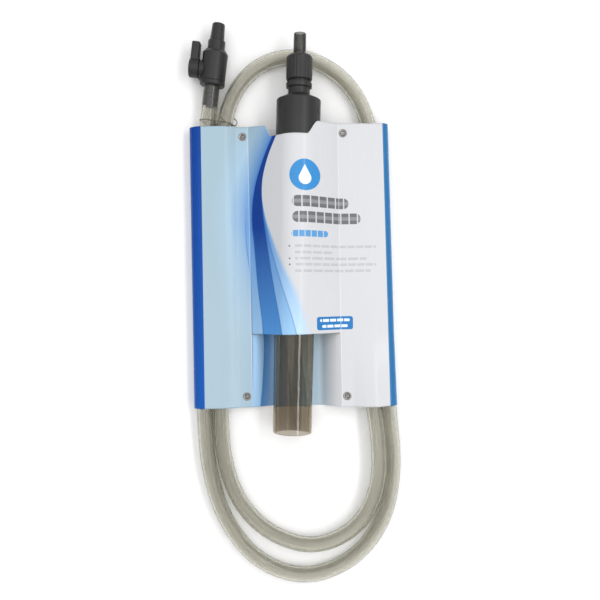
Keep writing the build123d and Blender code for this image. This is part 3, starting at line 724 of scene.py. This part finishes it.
def add_patch(mesh, section, rows, top_of=None):
    """Adds the grid of one part of the sheet, row by row, and the quads between them."""
    grid = []
    for y in rows:
        line = section(y)
        if top_of:
            share = (y - rows[-1]) / (rows[0] - rows[-1])
            line = [section_point(section, x, k, rows[-1] + (top_of(x) - rows[-1]) * share)
                    for k, (x, _) in enumerate(line)]
        else:
            line = [(x, y, z) for x, z in line]
        grid.append([mesh.verts.new(Vector(point) * MM) for point in line])
    for upper, lower in zip(grid, grid[1:]):
        for k in range(len(upper) - 1):
            mesh.faces.new((upper[k], lower[k], lower[k + 1], upper[k + 1]))


def section_point(section, x, column, y):
    """Point of one column of a section, taken at the y that it has there."""
    column_x, z = section(y)[column]
    return column_x, y, z


def open_eyelet_hole(mesh, centre):
    """Opens a round hole in the sheet and draws its edge onto the circle."""
    near = [v for v in mesh.verts if (v.co.xy - centre).length < EYELET_HOLE_R * MM * 0.95]
    bmesh.ops.delete(mesh, geom=near, context="VERTS")
    rim = [v for v in mesh.verts if v.is_boundary and (v.co.xy - centre).length < EYELET_HOLE_R * MM * 2.0]
    for vertex in rim:
        out = (vertex.co.xy - centre).normalized() * EYELET_HOLE_R * MM
        vertex.co.x, vertex.co.y = centre + out


def eyelet_centres():
    """The four eyelet centres on the card's seams, in metres."""
    centres = []
    for name in ("left_eyelets", "right_eyelets"):
        mount = MOUNTS[name]
        half = mount["dims"]["spacing_y_mm"] / 2 * MM
        centres += [Vector(mount["pos_m"]) + Vector((0, side * half, 0)) for side in (-1, 1)]
    return centres


def build_front_sleeve():
    """Printed sheet: two pockets, an arch over the siphon and, past the slit, a part behind the tube."""
    above = spread(SLEEVE_TOP, SLIT_Y, 121)
    below = spread(SLIT_Y, SLEEVE_BOTTOM, 44)
    mesh = bmesh.new()
    add_patch(mesh, left_section, above + below[1:])
    add_patch(mesh, right_section, above + below[1:])
    add_patch(mesh, over_section, above, notched_top)
    add_patch(mesh, behind_section, below)
    bmesh.ops.remove_doubles(mesh, verts=mesh.verts, dist=1e-6)
    for centre in eyelet_centres():
        open_eyelet_hole(mesh, centre.xy)
    data = bpy.data.meshes.new("printed_sleeve")
    mesh.to_mesh(data)
    mesh.free()
    data.shade_smooth()
    data.set_sharp_from_angle(angle=radians(28))
    piece = new_object("printed_sleeve", data)
    shell = piece.modifiers.new("thickness", "SOLIDIFY")
    shell.thickness = SHEET_THICKNESS * MM
    shell.offset = 1.0
    shell.material_offset = 1
    shell.material_offset_rim = 1
    return finish_piece(piece, [printed_film(), CARD], "root", ["front_sleeve"])


def build_eyelets():
    """Four rolled eyelets, each dished towards its hole."""
    corners = [
        (2.0, 0.1, 0.0), (2.0, 0.9, 0.3), (2.5, 1.42, 0.25), (3.3, 1.74, 0.4), (4.0, 1.74, 0.35),
        (4.3, 1.3, 0.1),
        (2.4, 1.26, 0.0), (2.4, 0.3, 0.0), (3.75, 0.3, 0.1), (3.75, 0.02, 0.15), (2.2, 0.02, 0.1),
    ]
    joined = bmesh.new()
    for centre in eyelet_centres():
        place = Matrix.Translation(centre) @ Matrix.Scale(MM, 4) @ Matrix.Translation((0, 0, -CARD_TOP))
        one = turned("eyelet", corners, place, 48)
        joined.from_mesh(one)
        bpy.data.meshes.remove(one)
    data = bpy.data.meshes.new("rolled_eyelets")
    joined.to_mesh(data)
    joined.free()
    data.shade_smooth()
    data.set_sharp_from_angle(angle=radians(50))
    metal = bright_metal("nickel_eyelet", colour("A09D97"), colour("6A6763"), 0.24)
    return finish_piece(new_object("rolled_eyelets", data), [metal], "root", ["eyelets"])


# ---- Siphon ----

def build_siphon_tube():
    """Smoke tube with rounded lips at its mouth."""
    bore = TUBE_MOUTH_R - TUBE_WALL
    corners = [
        (bore, 0.0, 0.5), (TUBE_MOUTH_R, 0.0, 0.5), (TUBE_TOP_R, TUBE_LENGTH, 0.3),
        (TUBE_TOP_R - TUBE_WALL, TUBE_LENGTH, 0.3), (bore, MOUTH_BORE_LENGTH, 0.0),
    ]
    piece = new_object("smoke_tube", turned("smoke_tube", corners, SIPHON, 128))
    tint = clear_plastic("smoke_tube_plastic", (0.40, 0.27, 0.04, 1.0), 430.0, 0.03)
    return finish_piece(piece, [tint], "root", ["siphon_tube"])


def build_head_connector():
    """Black head with rounded shoulders, a locking bead and a plain spigot."""
    corners = [
        (21.15, 264.0, 0.2), (22.5, 264.0, 0.5), (22.5, 338.5, 1.0), (11.4, 343.9, 0.8), (11.0, 350.8, 0.3),
        (13.1, 350.9, 0.9), (13.1, 356.0, 0.9), (10.9, 356.2, 0.3), (10.9, 372.0, 0.4), (8.6, 372.0, 0.3),
        (8.6, 341.5, 0.5), (20.0, 335.5, 0.5), (20.0, 320.4, 0.0), (21.15, 320.4, 0.0),
    ]
    piece = new_object("moulded_head", turned("moulded_head", corners, SIPHON, 128))
    return finish_piece(piece, [BLACK], "root", ["head_connector"])


def nut_ribs(angle, radius, station):
    """Shallow flutes round the grip of the nut."""
    if radius < 12.5 or not 358.9 < station < 378.8:
        return 0.0
    return -0.34 * (0.5 + 0.5 * cos(24 * angle)) ** 2


def build_union_nut():
    """Ribbed nut with a chamfered top."""
    corners = [
        (11.25, 358.6, 0.2), (12.9, 358.6, 0.4), (13.25, 359.6, 0.2), (13.35, 366.0, 0.0),
        (13.35, 372.0, 0.0), (13.35, 378.6, 0.0), (13.35, 379.2, 0.0), (13.35, 381.5, 0.6),
        (11.75, 383.3, 0.5), (6.75, 383.3, 0.3),
        (6.75, 377.3, 0.0), (11.25, 377.3, 0.0),
    ]
    piece = new_object("ribbed_union_nut", turned("ribbed_union_nut", corners, SIPHON, 240, nut_ribs))
    return finish_piece(piece, [BLACK], "union_nut", ["union_nut"])


def build_hose_tail():
    """Smoke nozzle with its clamping flange."""
    corners = [
        (4.6, 373.6, 0.0), (10.6, 373.6, 0.2), (10.6, 376.4, 0.2), (6.0, 376.4, 0.3), (6.0, 383.5, 0.1),
        (6.4, 383.5, 0.1), (6.4, 406.0, 0.9), (4.6, 406.0, 0.4),
    ]
    piece = new_object("smoke_nozzle", turned("smoke_nozzle", corners, SIPHON, 72))
    tint = clear_plastic("smoke_nozzle_plastic", (0.13, 0.12, 0.08, 1.0), 900.0, 0.12)
    return finish_piece(piece, [tint], "root", ["hose_tail"])


# ---- Tap ----

def build_tap_inlet():
    """Collar, spigot and ridged tail."""
    corners = [(4.0, -21.0, 0.3), (5.2, -21.0, 0.3)]
    for tip in BARB_STATIONS:
        corners += [(5.3, tip - 2.6, 0.3), (6.5, tip - 0.2, 0.25), (6.3, tip, 0.1), (5.3, tip + 0.1, 0.2)]
    corners += [
        (5.3, 0.0, 0.0), (12.2, 0.0, 0.3), (13.0, 1.2, 0.5), (13.0, 4.4, 0.4), (7.8, 4.4, 0.0),
        (7.8, 7.0, 0.2),
        (4.0, 7.0, 0.2),
    ]
    piece = new_object("ridged_tap_inlet", turned("ridged_tap_inlet", corners, TAP, 80))
    return finish_piece(piece, [BLACK], "root", ["tap_inlet"])


def build_tap_outlet():
    """Stepped outlet nozzle with rounded edges."""
    corners = [
        (4.0, 25.6, 0.0), (10.4, 25.6, 0.0), (10.4, 36.6, 0.2), (8.9, 36.6, 0.3), (8.9, 46.5, 1.2),
        (7.4, 46.5, 0.5), (6.4, 64.0, 1.8), (4.0, 64.0, 0.5),
    ]
    piece = new_object("stepped_tap_outlet", turned("stepped_tap_outlet", corners, TAP, 80))
    return finish_piece(piece, [BLACK], "root", ["tap_outlet"])


def moulded_copy(name, node, body, material, voxel):
    """Piece with a CAD node's shape, its edges and joins rounded as a mould leaves them."""
    source = frame["nodes"][node]
    mesh = bmesh.new()
    mesh.from_mesh(source.data)
    bmesh.ops.remove_doubles(mesh, verts=mesh.verts, dist=1e-6)
    data = bpy.data.meshes.new(name)
    mesh.to_mesh(data)
    mesh.free()
    data.materials.clear()
    piece = new_object(name, data)
    remesh = piece.modifiers.new("even", "REMESH")
    remesh.mode = "VOXEL"
    remesh.voxel_size = voxel * MM
    remesh.use_smooth_shade = True
    rounding = piece.modifiers.new("rounded", "SMOOTH")
    rounding.factor = 0.5
    rounding.iterations = 3
    bpy.context.view_layer.update()
    evaluated = piece.evaluated_get(bpy.context.evaluated_depsgraph_get())
    rounded = bpy.data.meshes.new_from_object(evaluated)
    piece.modifiers.clear()
    piece.data = rounded
    bpy.data.meshes.remove(data)
    rounded.name = name
    rounded.shade_smooth()
    return finish_piece(piece, [material], body, [node])


# ---- Hose ----

def smooth_route(points, name):
    """Points along the NURBS spline whose control points are the route."""
    curve = bpy.data.curves.new(name, "CURVE")
    curve.dimensions = "3D"
    curve.resolution_u = 16
    spline = curve.splines.new("NURBS")
    spline.points.add(len(points) - 1)
    for spot, point in zip(spline.points, points):
        spot.co = (*point, 1.0)
    spline.order_u = 3
    spline.use_endpoint_u = True
    guide = new_object(name, curve)
    line = bpy.data.meshes.new_from_object(guide)
    path = [vertex.co.copy() for vertex in line.vertices]
    bpy.data.objects.remove(guide)
    bpy.data.meshes.remove(line)
    return path


def travelling_frames(path):
    """Two directions across the path at each of its points, carried along without twisting."""
    frames = []
    across = Vector((0, 0, 1))
    for k in range(len(path)):
        ahead = (path[min(k + 1, len(path) - 1)] - path[max(k - 1, 0)]).normalized()
        across = (across - ahead * across.dot(ahead)).normalized()
        frames.append((across.copy(), ahead.cross(across)))
    return frames


def barb_swell(travel):
    """How far the tap's ridges stretch the hose, at a distance along it in millimetres."""
    return sum(exp(-((travel + station) / 1.7) ** 2) for station in BARB_STATIONS)


def bore_radius(travel):
    """The hose clings to the tap's tail, and past it the bore opens to its full size."""
    opened = smooth_step((travel - TAIL_LENGTH) / TAIL_EASE)
    return TAIL_GRIP_R + (HOSE_BORE_R - TAIL_GRIP_R) * opened


def build_hose():
    """Clear hose: an outer skin and a bore along the route, swollen over the tap's ridges."""
    path = smooth_route(HOSE_ROUTE, "hose_route")
    frames = travelling_frames(path)
    segments = 56
    travel = 0.0
    outer, bore, skin = [], [], []
    for k, point in enumerate(path):
        travel += (point - path[k - 1]).length if k else 0.0
        swell = barb_swell(travel / MM)
        for step in range(segments):
            angle = tau * step / segments
            reach = frames[k][0] * cos(angle) + frames[k][1] * sin(angle)
            outer.append(point + reach * (HOSE_R + 0.4 * swell) * MM)
            bore.append(point + reach * bore_radius(travel / MM) * MM)
            skin.append((cos(angle), sin(angle), travel * 10))
    count = len(path) * segments
    faces = grid_faces(len(path), segments, False, True)
    faces += [tuple(index + count for index in face) for face in faces]
    for start in (0, count - segments):
        for step in range(segments):
            a = start + step
            b = start + (step + 1) % segments
            faces.append((a, b, b + count, a + count))
    mesh = mesh_from("clear_hose", outer + bore, faces, Matrix.Identity(4), 50)
    layer = mesh.attributes.new("skin", "FLOAT_VECTOR", "POINT")
    layer.data.foreach_set("vector", [part for spot in skin + skin for part in spot])
    piece = new_object("clear_hose", mesh)
    finish_piece(piece, [hose_vinyl()], "root", ["hose"])
    return piece


# ---- Wire tie ----

TIE_LEFT = Vector((-87.9, 152.4, 10.5))
TIE_RIGHT = Vector((-70.5, 149.7, 9.17))
TIE_HOOK = [
    (-61.8, 148.5, 9.6), (-60.4, 146.4, 11.4), (-57.6, 148.0, 12.6), (-57.0, 151.6, 12.4),
    (-60.4, 154.6, 12.2),
]
TIE_STUB = [(-68.6, 149.5, 17.9), (-70.6, 151.6, 18.6), (-75.0, 155.8, 18.4)]
WIRE_R = 0.5


def add_spline(curve, points, cyclic=False):
    """Adds one smooth spline through or round its points."""
    spline = curve.splines.new("NURBS")
    spline.points.add(len(points) - 1)
    for spot, point in zip(spline.points, points):
        spot.co = (*(Vector(point) * MM), 1.0)
    spline.order_u = 3
    spline.use_cyclic_u = cyclic
    spline.use_endpoint_u = not cyclic


def build_wire_tie():
    """Wire loop round the two hoses, with a hooked end and a short one."""
    curve = bpy.data.curves.new("wire_tie_loop", "CURVE")
    curve.dimensions = "3D"
    curve.resolution_u = 6
    curve.bevel_depth = WIRE_R * MM
    curve.bevel_resolution = 4
    curve.use_fill_caps = True
    across = (TIE_RIGHT - TIE_LEFT).normalized()
    up = (Vector((0, 0, 1)) - across * across.z).normalized()
    reach = HOSE_R + WIRE_R + 0.15
    loop = []
    for centre, start in ((TIE_RIGHT, pi / 2), (TIE_LEFT, -pi / 2)):
        for k in range(9):
            angle = start - pi * k / 8
            loop.append(centre + (across * cos(angle) + up * sin(angle)) * reach)
    add_spline(curve, loop, True)
    add_spline(curve, TIE_HOOK)
    add_spline(curve, TIE_STUB)
    piece = new_object("wire_tie_loop", curve)
    metal = bright_metal("coated_wire", colour("8F8776"), colour("5E574A"), 0.22)
    return finish_piece(piece, [metal], "root", ["wire_tie"])


# ---- Carried-over CAD nodes ----

def dress_cad_nodes():
    """Gives the CAD nodes that stay their own materials."""
    white = moulded_plastic("white_inner_plastic", colour("E6E3DA"), colour("CFCBBF"), 0.34, 0.012)
    seal = rubber()
    steel = bright_metal("screw_steel", colour("C8C8C6"), colour("8E8E8C"), 0.3)
    finishes = {
        "black_plastic": BLACK, "white_plastic": white, "black_rubber": seal, "screw_steel": steel,
        "sleeve_card": CARD,
    }
    slots = {part["node"]: part["material_slot"] for part in RECORD["subparts"]}
    for name, node in frame["nodes"].items():
        if node.hide_render:
            continue
        node.data.materials.clear()
        node.data.materials.append(finishes[slots[name]])


# ---- Stage ----

FLOOR_REACH = 8.0
FLOOR_Z = -0.0003


def build_stage():
    """Pale floor just under the set."""
    corners = [(-FLOOR_REACH, -FLOOR_REACH), (FLOOR_REACH, -FLOOR_REACH), (FLOOR_REACH, FLOOR_REACH),
               (-FLOOR_REACH, FLOOR_REACH)]
    mesh = bpy.data.meshes.new("floor")
    mesh.from_pydata([(x, y, FLOOR_Z) for x, y in corners], [], [(0, 1, 2, 3)])
    floor = new_object("floor", mesh)
    mesh.materials.append(floor_paper())


def area_light(name, place, aim, size, radiance):
    """Soft box at a place, aimed at a point, in metres, with its brightness as radiance."""
    data = bpy.data.lights.new(name, "AREA")
    data.shape = "RECTANGLE"
    data.size, data.size_y = size
    data.energy = radiance * 4 * size[0] * size[1]
    light = new_object(name, data)
    light.location = place
    light.rotation_euler = (Vector(aim) - Vector(place)).to_track_quat("-Z", "Y").to_euler()
    light.visible_camera = False
    return light


def build_lights():
    """White surroundings, darker towards the horizon, an overhead soft box and a strip at the right."""
    world = bpy.data.worlds.new("studio")
    world.use_nodes = True
    nodes = world.node_tree.nodes
    links = world.node_tree.links
    height = nodes.new("ShaderNodeSeparateXYZ")
    shade = nodes.new("ShaderNodeValToRGB")
    shade.color_ramp.elements[0].color = (0.22, 0.22, 0.23, 1.0)
    shade.color_ramp.elements[1].position = 0.45
    shade.color_ramp.elements[1].color = (1.0, 1.0, 1.0, 1.0)
    links.new(nodes.new("ShaderNodeTexCoord").outputs["Generated"], height.inputs["Vector"])
    links.new(height.outputs["Z"], shade.inputs["Fac"])
    links.new(shade.outputs["Color"], nodes["Background"].inputs["Color"])
    nodes["Background"].inputs["Strength"].default_value = 0.86
    bpy.context.scene.world = world
    area_light("overhead", (-0.25, 0.3, 2.0), (0, -0.05, 0), (1.6, 1.6), 0.7)
    # The strip's long side lies along the siphon, so it shows as a bright line down the tube
    area_light("right_strip", (0.62, -0.02, 1.0), (0, -0.02, 0), (1.6, 0.24), 3.7)


def build_camera():
    """Camera straight above the set."""
    data = bpy.data.cameras.new("camera")
    data.sensor_width = SENSOR_WIDTH
    data.lens = CAMERA_LENS
    data.clip_start = 0.01
    data.clip_end = 50.0
    camera = new_object("camera", data)
    camera.location = CAMERA_PLACE
    camera.rotation_euler = (0, 0, CAMERA_ROLL)
    bpy.context.scene.camera = camera


bpy.context.scene.view_settings.view_transform = "Standard"
build_camera()
BLACK = moulded_plastic("black_moulded_plastic", colour("232324"), colour("303032"), 0.42, 0.015)
CARD = card_plastic()
build_hose()
build_front_sleeve()
build_eyelets()
build_siphon_tube()
build_head_connector()
build_union_nut()
build_hose_tail()
build_tap_inlet()
build_tap_outlet()
moulded_copy("moulded_tap_body", "tap_body", "root", BLACK, 0.35)
moulded_copy("moulded_tap_lever", "tap_lever", "lever", BLACK, 0.3)
build_wire_tie()
dress_cad_nodes()
build_stage()
build_lights()
